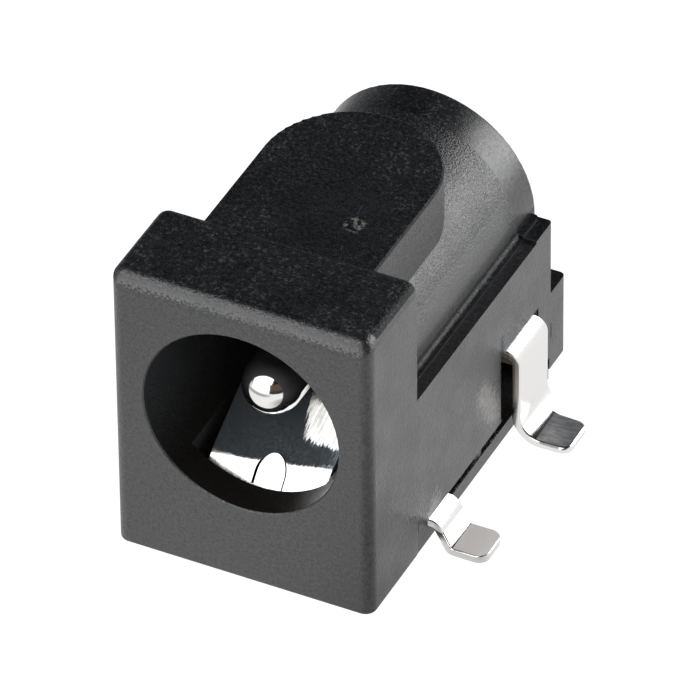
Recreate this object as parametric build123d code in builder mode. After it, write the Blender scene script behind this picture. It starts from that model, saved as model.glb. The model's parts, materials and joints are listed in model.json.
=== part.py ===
"""Surface-mount DC barrel jack, in millimetres.

+X is to the right seen from the socket's mouth, +Y is the way the plug goes in, and +Z points
away from the board. The origin is the root of the front locating post, on the underside of
the base plate.
"""

from build123d import *
import os

# Datum: depths are measured from the socket's front face, heights from the underside of the base plate
front_post_depth = 4.6
front_y = -front_post_depth

# Socket
socket_height = 6.28
socket_depth = 9.35
mouth_radius = 3.4
socket_end_radius = 3.3
mouth_chamfer = 0.05
lip_depth = 1.2

# Walls around the socket, which give the housing its outline
barrel_wall = 0.42
barrel_rise = 0.07  # the barrel's axis lies this much above the socket's
barrel_foot_radius = 0.2
barrel_end_radius = 0.12
shelf_reach = 0.25  # beside the barrel
shelf_rise = 0.06
ledge_reach = 0.43  # beside the shelf
ledge_rise = 0.08  # the ledge stands this much higher behind the mould's split
split_step = 0.04  # how much the barrel and the shelf draw in behind the split
flat_rise = 0.73  # above the barrel's crest
flat_width = 5.94
flat_depth = 10.84
flat_edge_radius = 0.08
flat_edge_window = 0.02  # edges this near the flat's height belong to its rim

# Flange
flange_top_wall = 1.32
flange_depth = 3.6
flange_side_radius = 0.45  # along the flange's two top edges
flange_front_radius = 0.4  # around the front face, but for its foot
flange_rear_radius = 0.3
flange_foot_radius = 0.12

# Rear of the housing
slot_wall = 0.33  # between the socket and the pin terminal's slot
slot_edge_radius = 0.25  # where the slot opens at the sides
rear_wall = 1.12  # behind the pin terminal's upright
split_setback = 1.2  # the mould's split, in front of the body's rear
barrel_overhang = 0.28
body_corner_radius = 0.15
tail_length = 1.03
tail_height = 3.55
tail_foot_height = 0.46
tail_corner_radius = 0.2

# Base plate, its pegs into the housing and its posts into the board
plate_thickness = 0.6
plate_front_overlap = 0.18  # with the flange's back
plate_rear_setback = 0.22
plate_side_inset = 0.02
plate_edge_chamfer = 0.08
post_pitch = 4.5
post_length = 1.0
post_chamfer = 0.2
front_post_radius = 0.75
rear_post_radius = 0.85
peg_radius = 0.4
peg_height = 1.3
peg_setback = 1.68  # in front of the pin terminal's slot
peg_inset = 0.65  # from the housing's side
peg_pad_radius = 0.6

# Sheet metal and clearances
sheet = 0.3
strip_clearance = 0.03  # above a strip that lies between the plate and the housing
part_clearance = 0.03
press_clearance = 0.02
slot_clearance = 0.08
room_clearance = 0.1
leaf_clearance = 0.28  # beside the leaf
leaf_end_clearance = 0.15  # before and behind the leaf

# Feet of all four legs
foot_drop = 0.05  # soles stand this much below the base plate, so they bear on the pads first
foot_length = 1.25
foot_width = 1.45
foot_corner_radius = 0.4
switch_foot_trim = 0.15  # the switch contact's foot ends this much short of the others
bend_radius = 0.35  # of a strip's middle line

# Centre pin
pin_radius = 1.0
pin_tip_depth = 1.3
pin_neck_radius = 0.75
pin_head_radius = 1.2
pin_head_length = 0.35
pin_head_chamfer = 0.12
pin_head_clearance = 0.2

# Pin terminal: cross strip, two legs and an upright on the pin
terminal_width = 2.15
terminal_inset = 0.2  # behind the front of its slot
terminal_drop = 2.74  # from the socket's axis to the strip's top
terminal_setback = 0.17  # the strip's rear edge lies this far in front of the upright's rear face
terminal_leg_gap = 0.18  # between the housing's side and the leg
terminal_taper_length = 0.3
terminal_foot_radius = 0.9  # of the middle line where the leg turns out to the foot
terminal_foot_width = 1.6
terminal_foot_extra = 0.12  # its feet reach this much further out than the front ones
upright_width = 3.0
upright_bend_radius = 0.15

# Sleeve contact: base strip, right front leg and the sprung leaf in the socket
front_strip_depth = 4.2
front_strip_width = 1.5
front_leg_gap = 0.3  # the strip's middle line turns down this far outside the side
front_leg_run = 0.55  # and comes down to the foot over this length
front_leg_skew = 0.33  # the foot stands this much nearer the mouth than the strip
leaf_knee_drop = 0.38  # below the mouth's lowest point
leaf_slope_depth = 2.05
leaf_slope_drop = 3.03  # below the socket's axis
leaf_crest_depth = 4.6
leaf_crest_drop = 1.73  # below the socket's axis
leaf_end_drop = 0.13  # below the mouth's lowest point
leaf_end_length = 1.0
leaf_foot_radius = 0.5
leaf_knee_radius = 0.45
leaf_slope_radius = 0.5
leaf_crest_radius = 1.4
leaf_fall_radius = 0.8
barb_width = 0.9
barb_top_depth = 2.22
barb_slit = 0.08

# Switch contact: left front leg, side run and the finger over the leaf's end
switch_run_width = 0.8
finger_width = 0.7
finger_reach = 1.2  # the finger ends this far from the middle plane

# Outline of the housing, from the walls around the socket
barrel_radius = mouth_radius + barrel_wall
shelf_half = barrel_radius + shelf_reach
half_body = shelf_half + ledge_reach
body_width = half_body * 2
ledge_height = socket_height + barrel_rise
flat_height = ledge_height + barrel_radius + flat_rise
flange_height = socket_height + mouth_radius + flange_top_wall
rim_height = plate_thickness + sheet + strip_clearance

# Depths of the pin terminal and of what follows from it
slot_near = socket_depth + slot_wall
terminal_near_depth = slot_near + terminal_inset
upright_rear_depth = terminal_near_depth + terminal_width + terminal_setback
upright_front_depth = upright_rear_depth - sheet
slot_far = upright_rear_depth + slot_clearance
body_depth = upright_rear_depth + rear_wall
split_depth = body_depth - split_setback
barrel_depth = body_depth + barrel_overhang
tail_depth = body_depth + tail_length
plate_front_depth = flange_depth - plate_front_overlap
plate_rear_depth = body_depth - plate_rear_setback
post_far_depth = front_post_depth + post_pitch
peg_depth = slot_near - peg_setback
peg_spacing = body_width - peg_inset * 2

# Middle lines and heights of the strips
foot_middle = sheet / 2 - foot_drop
base_middle = plate_thickness + sheet / 2
terminal_top_height = socket_height - terminal_drop
terminal_middle = terminal_top_height - sheet / 2
leg_middle = half_body + terminal_leg_gap + sheet / 2
terminal_neck_reach = leg_middle + sheet / 2
front_leg_turn = half_body + front_leg_gap
front_leg_land = front_leg_turn + front_leg_run
foot_reach = front_leg_land + foot_length
terminal_foot_reach = foot_reach + terminal_foot_extra

# Leaf and switch, side by side in the socket's floor
switch_outer = half_body - peg_inset - peg_pad_radius - room_clearance
switch_run_inner = switch_outer - switch_run_width
leaf_room_half = switch_run_inner
leaf_half = leaf_room_half - leaf_clearance
mouth_bottom = socket_height - mouth_radius
leaf_front_depth = lip_depth + leaf_end_clearance
leaf_knee_height = mouth_bottom - leaf_knee_drop
leaf_slope_height = socket_height - leaf_slope_drop
leaf_crest_height = socket_height - leaf_crest_drop
leaf_end_height = mouth_bottom - leaf_end_drop
leaf_end_depth = socket_depth - leaf_end_clearance
leaf_fall_depth = leaf_end_depth - leaf_end_length
finger_near_depth = leaf_end_depth - finger_width
pin_nose_depth = pin_tip_depth + pin_radius
socket_axis = Axis((0, front_y, socket_height), (0, 1, 0))


def at_depth(depth):
    """Place along Y of a depth measured from the front face."""
    return front_y + depth


def section(depth):
    """Plane across the jack at a depth from the front face, with its positive side to the mouth."""
    return Plane.XZ.offset(-at_depth(depth))


# Housing: flange
with BuildPart() as housing:
    with BuildSketch(section(0)) as flange_face:
        Rectangle(body_width, flange_height, align=(Align.CENTER, Align.MIN))
        fillet(flange_face.vertices().group_by(Axis.Y)[-1], radius=flange_side_radius)
    extrude(amount=-flange_depth)
    rear_rim = housing.faces().sort_by(Axis.Y)[-1].edges()
    fillet(rear_rim.sort_by(Axis.Z)[-1], radius=flange_rear_radius)
    front_rim = housing.faces().sort_by(Axis.Y)[0].edges()
    front_foot = front_rim.sort_by(Axis.Z)[0]
    fillet(front_rim - [front_foot], radius=flange_front_radius)
    fillet(housing.faces().sort_by(Axis.Y)[0].edges().sort_by(Axis.Z)[0], radius=flange_foot_radius)

    # The flange is cut back at its foot, where the base plate butts against it
    with BuildSketch(section(plate_front_depth - part_clearance)):
        Rectangle(body_width, rim_height, align=(Align.CENTER, Align.MIN))
    extrude(amount=-flange_depth, mode=Mode.SUBTRACT)

    # Lower body and barrel in front of the split
    with BuildSketch(section(flange_depth - flange_rear_radius)) as front_form:
        with Locations((0, rim_height)):
            Rectangle(body_width, ledge_height - rim_height, align=(Align.CENTER, Align.MIN))
            shelf_block = ledge_height + shelf_rise - rim_height
            Rectangle(shelf_half * 2, shelf_block, align=(Align.CENTER, Align.MIN))
        with Locations((0, ledge_height)):
            Circle(barrel_radius)
        feet = front_form.vertices().filter_by(lambda v: v.Y > ledge_height and abs(v.X) < barrel_radius)
        fillet(feet, radius=barrel_foot_radius)
    extrude(amount=-(split_depth - flange_depth + flange_rear_radius))

    # Behind the split the ledge steps up and the barrel draws in a little, with no fillet at its foot
    with BuildSketch(section(split_depth)):
        with Locations((0, rim_height)):
            ledge_block = ledge_height + ledge_rise - rim_height
            Rectangle(body_width, ledge_block, align=(Align.CENTER, Align.MIN))
        with Locations((0, ledge_height)):
            shelf_height = ledge_rise + shelf_rise
            Rectangle((shelf_half - split_step) * 2, shelf_height, align=(Align.CENTER, Align.MIN))
    extrude(amount=-(body_depth - split_depth))
    upright_corners = housing.edges().filter_by(Axis.Z).group_by(Axis.Y)[-1]
    fillet(upright_corners, radius=body_corner_radius)
    with BuildSketch(section(split_depth)):
        with Locations((0, ledge_height)):
            Circle(barrel_radius - split_step)
    extrude(amount=-(barrel_depth - split_depth))
    fillet(housing.faces().sort_by(Axis.Y)[-1].edges(), radius=barrel_end_radius)

    # Raised flat on the barrel, round at its far end
    with BuildSketch(Plane.XY.offset(ledge_height)):
        flat_start = at_depth(flange_depth - flange_rear_radius)
        flat_centre = at_depth(flat_depth) - flat_width / 2
        with Locations((0, flat_start)):
            Rectangle(flat_width, flat_centre - flat_start, align=(Align.CENTER, Align.MIN))
        with Locations((0, flat_centre)):
            Circle(flat_width / 2)
    extrude(amount=flat_height - ledge_height)
    lowest = flat_height - flat_edge_window
    highest = flat_height + flat_edge_window
    flat_rim = housing.edges().filter_by_position(Axis.Z, lowest, highest)
    fillet(flat_rim.filter_by(Axis.Y) + flat_rim.filter_by(GeomType.CIRCLE), radius=flat_edge_radius)

    # Tail block behind the body
    with BuildSketch(section(plate_rear_depth + part_clearance)):
        with Locations((0, tail_foot_height)):
            Rectangle(body_width, tail_height - tail_foot_height, align=(Align.CENTER, Align.MIN))
    extrude(amount=-(tail_depth - plate_rear_depth - part_clearance))
    fillet(housing.edges().filter_by(Axis.Z).group_by(Axis.Y)[-1], radius=tail_corner_radius)

    # Socket
    with BuildSketch(Plane.YZ) as socket_profile:
        with BuildLine():
            mouth = (at_depth(mouth_chamfer), socket_height + mouth_radius)
            Polyline(
                (at_depth(0), socket_height),
                (at_depth(0), socket_height + mouth_radius + mouth_chamfer),
                mouth,
                (at_depth(lip_depth), socket_height + mouth_radius),
                (at_depth(socket_depth), socket_height + socket_end_radius),
                (at_depth(socket_depth), socket_height),
                close=True,
            )
        make_face()
    revolve(axis=socket_axis, mode=Mode.SUBTRACT)

    # Room for the leaf under the socket, from the lip to the socket's end
    with BuildSketch(section(lip_depth)):
        with Locations((0, plate_thickness)):
            room_height = socket_height - plate_thickness
            Rectangle(leaf_room_half * 2, room_height, align=(Align.CENTER, Align.MIN))
    extrude(amount=-(socket_depth - lip_depth), mode=Mode.SUBTRACT)

    # Room for the switch contact beside it
    with BuildSketch(section(front_strip_depth - room_clearance)):
        with Locations((-switch_outer - room_clearance, plate_thickness)):
            room_width = switch_outer + room_clearance - finger_reach
            room_height = leaf_end_height + sheet + room_clearance - plate_thickness
            Rectangle(room_width, room_height, align=(Align.MIN, Align.MIN))
    extrude(amount=-(socket_depth - front_strip_depth + room_clearance), mode=Mode.SUBTRACT)

    # Slot across the body for the pin terminal, open downwards and at both sides
    with BuildSketch(section(slot_near)):
        slot_height = terminal_top_height + slot_clearance - rim_height
        with Locations((0, rim_height)):
            Rectangle(body_width, slot_height, align=(Align.CENTER, Align.MIN))
    extrude(amount=-(slot_far - slot_near), mode=Mode.SUBTRACT)

    # Its front edges are round where it opens at the sides
    slot_front = at_depth(slot_near)
    slot_edges = housing.edges().filter_by(Axis.Z).filter_by_position(Axis.Y, slot_front, slot_front)
    fillet(slot_edges.filter_by(lambda e: abs(e.center().X) > shelf_half), radius=slot_edge_radius)

    # Slot for the upright, and the holes for the pin
    with BuildSketch(section(upright_front_depth - slot_clearance)):
        upright_half = upright_width / 2 + slot_clearance
        with Locations((0, socket_height)):
            Circle(upright_half)
        with Locations((0, rim_height)):
            Rectangle(upright_half * 2, socket_height - rim_height, align=(Align.CENTER, Align.MIN))
    extrude(amount=-(sheet + slot_clearance * 2), mode=Mode.SUBTRACT)
    with BuildSketch(section(socket_depth)):
        with Locations((0, socket_height)):
            Circle(pin_neck_radius + press_clearance)
    extrude(amount=-(upright_front_depth - socket_depth), mode=Mode.SUBTRACT)
    with BuildSketch(section(upright_rear_depth)):
        with Locations((0, socket_height)):
            Circle(pin_head_radius + pin_head_clearance)
    extrude(amount=-barrel_depth, mode=Mode.SUBTRACT)

    # Blind holes for the base plate's pegs
    with BuildSketch(Plane.XY.offset(rim_height)):
        with Locations((0, at_depth(peg_depth))):
            with GridLocations(peg_spacing, 0, 2, 1):
                Circle(peg_radius + press_clearance)
    extrude(amount=peg_height - sheet, mode=Mode.SUBTRACT)

# Base plate, with pegs into the housing and locating posts into the board
with BuildPart() as base_plate:
    plate_length = plate_rear_depth - plate_front_depth
    with BuildSketch(Plane.XY):
        with Locations((0, at_depth(plate_front_depth))):
            Rectangle(body_width - plate_side_inset * 2, plate_length, align=(Align.CENTER, Align.MIN))
    extrude(amount=plate_thickness)
    chamfer(base_plate.faces().sort_by(Axis.Z)[0].edges().filter_by(Axis.Y), length=plate_edge_chamfer)

    # Front corners stand up to the housing, in front of the strips
    with BuildSketch(Plane.XY.offset(plate_thickness)):
        corner_length = front_strip_depth - plate_front_depth - slot_clearance
        corner_width = body_width / 2 - plate_side_inset - leaf_room_half
        with Locations((leaf_room_half, at_depth(plate_front_depth))):
            Rectangle(corner_width, corner_length, align=(Align.MIN, Align.MIN))
        mirror(about=Plane.YZ)
    extrude(amount=sheet + strip_clearance)

    # Pegs on their pads
    with BuildSketch(Plane.XY.offset(plate_thickness)):
        with Locations((0, at_depth(peg_depth))):
            with GridLocations(peg_spacing, 0, 2, 1):
                Circle(peg_pad_radius)
    extrude(amount=sheet + strip_clearance)
    with BuildSketch(Plane.XY.offset(plate_thickness)):
        with Locations((0, at_depth(peg_depth))):
            with GridLocations(peg_spacing, 0, 2, 1):
                Circle(peg_radius)
    extrude(amount=peg_height)
    with BuildSketch(Plane.XY):
        Circle(front_post_radius)
        with Locations((0, at_depth(post_far_depth))):
            Circle(rear_post_radius)
    extrude(amount=-post_length)
    chamfer(base_plate.faces().filter_by(Axis.Z).group_by(Axis.Z)[0].edges(), length=post_chamfer)

# Centre pin: round nose, shank with a shoulder on the socket's end, neck through the wall, riveted head
with BuildPart() as centre_pin:
    pin_end = at_depth(upright_rear_depth + pin_head_length)
    with BuildSketch(Plane.YZ):
        with BuildLine():
            nose = RadiusArc(
                (at_depth(pin_tip_depth), socket_height),
                (at_depth(pin_nose_depth), socket_height + pin_radius),
                pin_radius,
            )
            Polyline(
                nose @ 1,
                (at_depth(socket_depth), socket_height + pin_radius),
                (at_depth(socket_depth), socket_height + pin_neck_radius),
                (at_depth(upright_rear_depth), socket_height + pin_neck_radius),
                (at_depth(upright_rear_depth), socket_height + pin_head_radius),
                (pin_end, socket_height + pin_head_radius),
                (pin_end, socket_height),
                nose @ 0,
            )
        make_face()
    revolve(axis=socket_axis)
    chamfer(centre_pin.faces().sort_by(Axis.Y)[-1].edges(), length=pin_head_chamfer)

# Pin terminal: a strip across the body, bent down outside both sides and out to the feet
with BuildPart() as pin_terminal:
    terminal_radii = (terminal_foot_radius, bend_radius, bend_radius, terminal_foot_radius)
    with BuildSketch(section(terminal_near_depth)):
        with BuildLine():
            FilletPolyline(
                (-terminal_foot_reach, foot_middle),
                (-leg_middle, foot_middle),
                (-leg_middle, terminal_middle),
                (leg_middle, terminal_middle),
                (leg_middle, foot_middle),
                (terminal_foot_reach, foot_middle),
                radius=terminal_radii,
            )
            offset(amount=sheet / 2, side=Side.BOTH)
        make_face()
    extrude(amount=-terminal_width)

    # Blank outline seen from above: the strip narrows to the foot, and the foot's corners are round
    with BuildSketch(Plane.XY.offset(-foot_drop)) as terminal_blank:
        with BuildLine():
            near = at_depth(terminal_near_depth)
            wide = near + terminal_width
            narrow = near + terminal_foot_width
            neck_end = terminal_neck_reach + terminal_taper_length
            Polyline(
                (0, near),
                (terminal_foot_reach, near),
                (terminal_foot_reach, narrow),
                (neck_end, narrow),
                (terminal_neck_reach, wide),
                (0, wide),
                close=True,
            )
        make_face()
        fillet(terminal_blank.vertices().group_by(Axis.X)[-1], radius=foot_corner_radius)
        mirror(about=Plane.YZ)
    extrude(amount=terminal_top_height + foot_drop, mode=Mode.INTERSECT)

    # Upright, bent up from the strip's rear edge, with the hole for the pin's neck
    with BuildSketch(section(upright_front_depth)):
        with Locations((0, terminal_top_height - sheet)):
            upright_height = socket_height - terminal_top_height + sheet
            Rectangle(upright_width, upright_height, align=(Align.CENTER, Align.MIN))
        with Locations((0, socket_height)):
            Circle(upright_width / 2)
            Circle(pin_neck_radius + press_clearance, mode=Mode.SUBTRACT)
    extrude(amount=-sheet)
    heel = pin_terminal.edges().filter_by(Axis.X).group_by(Axis.Y)[-1].sort_by(Axis.Z)[0]
    fillet(heel, radius=upright_bend_radius)


def front_leg_path(reach):
    """Middle line of a front strip, from inside the body out to its foot's tip at a reach."""
    FilletPolyline(
        (0, base_middle),
        (front_leg_turn, base_middle),
        (front_leg_land, foot_middle),
        (reach, foot_middle),
        radius=bend_radius,
    )


def front_leg_blank(reach):
    """Outline of a front leg seen from above: the foot stands nearer the mouth than the strip."""
    near = at_depth(front_strip_depth)
    foot_near = near - front_leg_skew
    Polyline(
        (0, near),
        (half_body, near),
        (front_leg_land, foot_near),
        (reach, foot_near),
        (reach, foot_near + foot_width),
        (front_leg_land, foot_near + foot_width),
        (half_body, near + front_strip_width),
        (0, near + front_strip_width),
        close=True,
    )


# Sleeve contact: right front leg, base strip and the leaf folded up and back over it
with BuildPart() as sleeve_contact:
    with BuildSketch(section(front_strip_depth - front_leg_skew)):
        with BuildLine():
            front_leg_path(foot_reach)
            offset(amount=sheet / 2, side=Side.BOTH)
        make_face()
    extrude(amount=-(front_strip_width + front_leg_skew))
    with BuildSketch(Plane.XY.offset(-foot_drop)) as sleeve_blank:
        with BuildLine():
            front_leg_blank(foot_reach)
        make_face()
        fillet(sleeve_blank.vertices().group_by(Axis.X)[-1], radius=foot_corner_radius)
    extrude(amount=rim_height + foot_drop, mode=Mode.INTERSECT)
    leaf_front_radii = (leaf_foot_radius, leaf_knee_radius, leaf_slope_radius)
    leaf_radii = (*leaf_front_radii, leaf_crest_radius, leaf_fall_radius)
    with BuildSketch(Plane.YZ):
        with BuildLine():
            FilletPolyline(
                (at_depth(front_strip_depth + front_strip_width), plate_thickness),
                (at_depth(leaf_front_depth), plate_thickness),
                (at_depth(leaf_front_depth), leaf_knee_height),
                (at_depth(leaf_slope_depth), leaf_slope_height),
                (at_depth(leaf_crest_depth), leaf_crest_height),
                (at_depth(leaf_fall_depth), leaf_end_height),
                (at_depth(leaf_end_depth), leaf_end_height),
                radius=leaf_radii,
            )
            offset(amount=sheet, side=Side.RIGHT)
        make_face()
    extrude(amount=leaf_half, both=True)

    # Slit around the barb in the leaf's front slope
    with BuildSketch(Plane.XY.offset(leaf_knee_height - sheet)):
        barb_centre = at_depth(barb_top_depth) - barb_width / 2
        barb_foot = at_depth(leaf_front_depth + sheet / 2)
        for reach, step in ((barb_width / 2 + barb_slit, Mode.ADD), (barb_width / 2, Mode.SUBTRACT)):
            with Locations((0, barb_centre)):
                Circle(reach, mode=step)
            with Locations((0, barb_centre)):
                Rectangle(reach * 2, barb_centre - barb_foot, align=(Align.CENTER, Align.MAX), mode=step)
    extrude(amount=leaf_crest_height - leaf_knee_height, mode=Mode.SUBTRACT)

# Switch contact: left front leg, a run along the side, and a finger that the leaf's end presses up against
with BuildPart() as switch_contact:
    with BuildSketch(section(front_strip_depth - front_leg_skew)):
        with BuildLine():
            front_leg_path(foot_reach - switch_foot_trim)
            offset(amount=sheet / 2, side=Side.BOTH)
        make_face()
    extrude(amount=-(front_strip_width + front_leg_skew))
    with BuildSketch(Plane.XY.offset(-foot_drop)) as switch_blank:
        with BuildLine():
            front_leg_blank(foot_reach - switch_foot_trim)
        make_face()
        fillet(switch_blank.vertices().group_by(Axis.X)[-1], radius=foot_corner_radius)
    extrude(amount=rim_height + foot_drop, mode=Mode.INTERSECT)
    split(bisect_by=Plane.YZ.offset(switch_run_inner), keep=Keep.TOP)
    with BuildSketch(Plane.XY.offset(plate_thickness)):
        with Locations((switch_run_inner, at_depth(front_strip_depth))):
            Rectangle(switch_run_width, leaf_end_depth - front_strip_depth, align=(Align.MIN, Align.MIN))
    extrude(amount=sheet)
    with BuildSketch(section(finger_near_depth)):
        with BuildLine():
            FilletPolyline(
                (switch_outer, plate_thickness),
                (switch_outer, leaf_end_height + sheet),
                (finger_reach, leaf_end_height + sheet),
                radius=bend_radius,
            )
            offset(amount=sheet, side=Side.LEFT)
        make_face()
    extrude(amount=-finger_width)
    mirror(about=Plane.YZ, mode=Mode.REPLACE)

# Written out, one file a piece
os.makedirs("parts", exist_ok=True)
housing.part.label = "housing"
export_step(housing.part, "parts/housing.step")
base_plate.part.label = "base_plate"
export_step(base_plate.part, "parts/base_plate.step")
centre_pin.part.label = "centre_pin"
export_step(centre_pin.part, "parts/centre_pin.step")
pin_terminal.part.label = "pin_terminal"
export_step(pin_terminal.part, "parts/pin_terminal.step")
sleeve_contact.part.label = "sleeve_contact"
export_step(sleeve_contact.part, "parts/sleeve_contact.step")
switch_contact.part.label = "switch_contact"
export_step(switch_contact.part, "parts/switch_contact.step")
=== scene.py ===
# %% [markdown]
# # Dressing a surface-mount barrel jack
# The measured model of the jack comes first and stays where it is. This script gives each piece
# its finish: black moulded plastic for the housing and its base, bright plate for the pin and
# the stamped contacts. Where light shows every facet, as on the plated pieces, a smoother mesh
# stands in for the measured one, at the same size and place.

import json
import math

import bmesh
import bpy
from mathutils import Matrix, Vector


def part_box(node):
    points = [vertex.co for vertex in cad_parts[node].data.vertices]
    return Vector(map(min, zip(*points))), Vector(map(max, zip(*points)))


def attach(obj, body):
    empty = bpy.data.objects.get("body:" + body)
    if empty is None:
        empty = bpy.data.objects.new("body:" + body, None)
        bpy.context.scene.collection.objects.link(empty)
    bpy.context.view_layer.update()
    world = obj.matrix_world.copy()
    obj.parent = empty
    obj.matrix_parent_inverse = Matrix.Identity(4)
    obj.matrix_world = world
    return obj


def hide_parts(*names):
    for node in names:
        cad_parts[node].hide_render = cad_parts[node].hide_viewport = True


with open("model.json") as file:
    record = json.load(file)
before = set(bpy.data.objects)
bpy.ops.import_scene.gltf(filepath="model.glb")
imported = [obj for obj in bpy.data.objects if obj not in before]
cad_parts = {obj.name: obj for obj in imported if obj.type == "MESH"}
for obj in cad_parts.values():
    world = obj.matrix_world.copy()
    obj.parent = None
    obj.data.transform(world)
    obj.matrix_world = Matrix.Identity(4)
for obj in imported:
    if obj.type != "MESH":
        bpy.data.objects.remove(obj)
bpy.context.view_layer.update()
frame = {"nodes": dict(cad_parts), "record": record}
MM = 0.001
BODY = "root"
nodes = frame["nodes"]
print("pieces:", ", ".join(sorted(nodes)))

# %% [markdown]
# ## Places to work from
# Every size below is read from the measured model's boxes, so the dressed pieces follow it.
# Depths run back from the flange's front face, and heights up from the board.

# %% Read the main places
housing_low, housing_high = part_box("housing")
plate_low, plate_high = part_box("base_plate")
pin_low, pin_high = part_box("centre_pin")
terminal_low, terminal_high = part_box("pin_terminal")
sleeve_low, sleeve_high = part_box("sleeve_contact")
switch_low, switch_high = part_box("switch_contact")
front_y = housing_low.y
half_body = housing_high.x
mounts = {mount["name"]: mount for mount in frame["record"]["mounts"]}
socket_height = mounts["centre_pin"]["pos_m"][2]
pin_radius = mounts["centre_pin"]["dims"]["r_mm"] * MM
print(f"front face at {front_y / MM:.2f} mm, socket axis {socket_height / MM:.2f} mm up")

# %% [markdown]
# ## The camera
# The photograph was taken with a long lens from the right and above, which keeps the jack's
# edges nearly parallel. The camera is placed from its own heading, height and roll, so that its
# frame matches the photograph's.

# %% Place the camera
CAMERA_PLACE = Vector((108.078, -213.971, 199.991)) * MM
CAMERA_AZIMUTH = math.radians(26.465)
CAMERA_ELEVATION = math.radians(38.995)
CAMERA_ROLL = math.radians(-0.633)
CAMERA_LENS = 503.14
SENSOR_WIDTH = 36.0
CLIP_START = 0.01


def make_camera():
    """A camera looking down its own back axis, with the photograph's heading, height and roll."""
    sin_a, cos_a = math.sin(CAMERA_AZIMUTH), math.cos(CAMERA_AZIMUTH)
    sin_e, cos_e = math.sin(CAMERA_ELEVATION), math.cos(CAMERA_ELEVATION)
    back = Vector((sin_a * cos_e, -cos_a * cos_e, sin_e))
    right = Vector((cos_a, sin_a, 0))
    up = back.cross(right)
    level = Matrix((right, up, back)).transposed()
    turn = level @ Matrix.Rotation(CAMERA_ROLL, 3, "Z")
    camera = bpy.data.objects.new("camera", bpy.data.cameras.new("camera"))
    camera.data.lens = CAMERA_LENS
    camera.data.sensor_width = SENSOR_WIDTH
    camera.data.clip_start = CLIP_START
    camera.matrix_world = Matrix.Translation(CAMERA_PLACE) @ turn.to_4x4()
    bpy.context.scene.collection.objects.link(camera)
    bpy.context.scene.camera = camera
    return camera


camera = make_camera()
bpy.context.scene.view_settings.view_transform = "Standard"
print("camera at", [round(c / MM, 1) for c in camera.location], "mm")

# %% [markdown]
# ## Small helpers for shader trees
# A material is a tree of nodes. These helpers add nodes, do sums with values and vectors, and
# spread soft masks, so that the materials below read as lists.

# %% Shader helpers
PLAIN_RESULTS = ("DISTANCE", "DOT_PRODUCT", "LENGTH")  # the vector sums that give one value


def add_node(tree, kind, inputs=None, **settings):
    """Adds a node, sets its properties, then fills or joins its inputs by name or number."""
    node = tree.nodes.new(kind)
    for name, value in settings.items():
        setattr(node, name, value)
    for name, value in (inputs or {}).items():
        if isinstance(value, bpy.types.NodeSocket):
            tree.links.new(value, node.inputs[name])
        else:
            node.inputs[name].default_value = value
    return node


def new_material(name):
    """An empty material, its tree, and its output node."""
    material = bpy.data.materials.new(name)
    material.use_nodes = True
    material.node_tree.nodes.clear()
    output = material.node_tree.nodes.new("ShaderNodeOutputMaterial")
    return material, material.node_tree, output


def grey(level):
    """A neutral colour at one linear level."""
    return (level, level, level, 1.0)


def calc(tree, operation, first, second, **settings):
    """One sum with two values."""
    return add_node(tree, "ShaderNodeMath", {0: first, 1: second}, operation=operation,
                    **settings).outputs[0]


def times(tree, value, *others):
    """Values multiplied together."""
    for other in others:
        value = calc(tree, "MULTIPLY", value, other)
    return value


def plus(tree, value, *others):
    """Values added together."""
    for other in others:
        value = calc(tree, "ADD", value, other)
    return value


def size_of(tree, value):
    """A value without its sign."""
    return add_node(tree, "ShaderNodeMath", {0: value}, operation="ABSOLUTE").outputs[0]


def vector(tree, operation, first, second=None):
    """One sum with vectors, which gives a vector or, as for a distance, one value."""
    inputs = {0: first} if second is None else {0: first, 1: second}
    node = add_node(tree, "ShaderNodeVectorMath", inputs, operation=operation)
    return node.outputs["Value" if operation in PLAIN_RESULTS else "Vector"]


def joined(tree, **parts):
    """A vector from its X, Y and Z; a part left out is nothing."""
    return add_node(tree, "ShaderNodeCombineXYZ", parts).outputs[0]


def split(tree, source):
    """The X, Y and Z of a vector."""
    return add_node(tree, "ShaderNodeSeparateXYZ", {0: source}).outputs


def object_place(tree):
    """The shaded point, from the object's own origin."""
    return add_node(tree, "ShaderNodeTexCoord").outputs["Object"]


def facing(tree):
    """The X, Y and Z of the way that the surface faces."""
    return split(tree, add_node(tree, "ShaderNodeNewGeometry").outputs["Normal"])


def masked(tree, value, low, high, to_low=0.0, to_high=1.0):
    """A value spread from one range to another, with soft ends."""
    node = add_node(tree, "ShaderNodeMapRange", {"Value": value, "From Min": low, "From Max": high,
                    "To Min": to_low, "To Max": to_high}, interpolation_type="SMOOTHSTEP")
    return node.outputs["Result"]


def between(tree, share, none, full):
    """A value that goes from one level to another as a share grows from 0 to 1."""
    return masked(tree, share, 0.0, 1.0, none, full)


def blend(tree, share, first, second):
    """Two colours mixed by a share."""
    mix = add_node(tree, "ShaderNodeMix", data_type="RGBA")
    for socket, value in zip([s for s in mix.inputs if s.type == "RGBA"], (first, second)):
        if isinstance(value, bpy.types.NodeSocket):
            tree.links.new(value, socket)
        else:
            socket.default_value = value
    tree.links.new(share, mix.inputs["Factor"])
    return [s for s in mix.outputs if s.type == "RGBA"][0]


def leaned(tree, normal, **parts):
    """A shading normal that leans by so much along X, Y or Z."""
    return vector(tree, "NORMALIZE", vector(tree, "ADD", normal, joined(tree, **parts)))


# %% [markdown]
# ## Floor, world and lamps
# The jack stands on its two posts on a white table, under one large soft lamp high in front and
# to the left. Black plastic shows little but reflections, so what it mirrors matters most: the
# white table makes the upright faces grey, and the dark room above leaves the top faces black.

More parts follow.
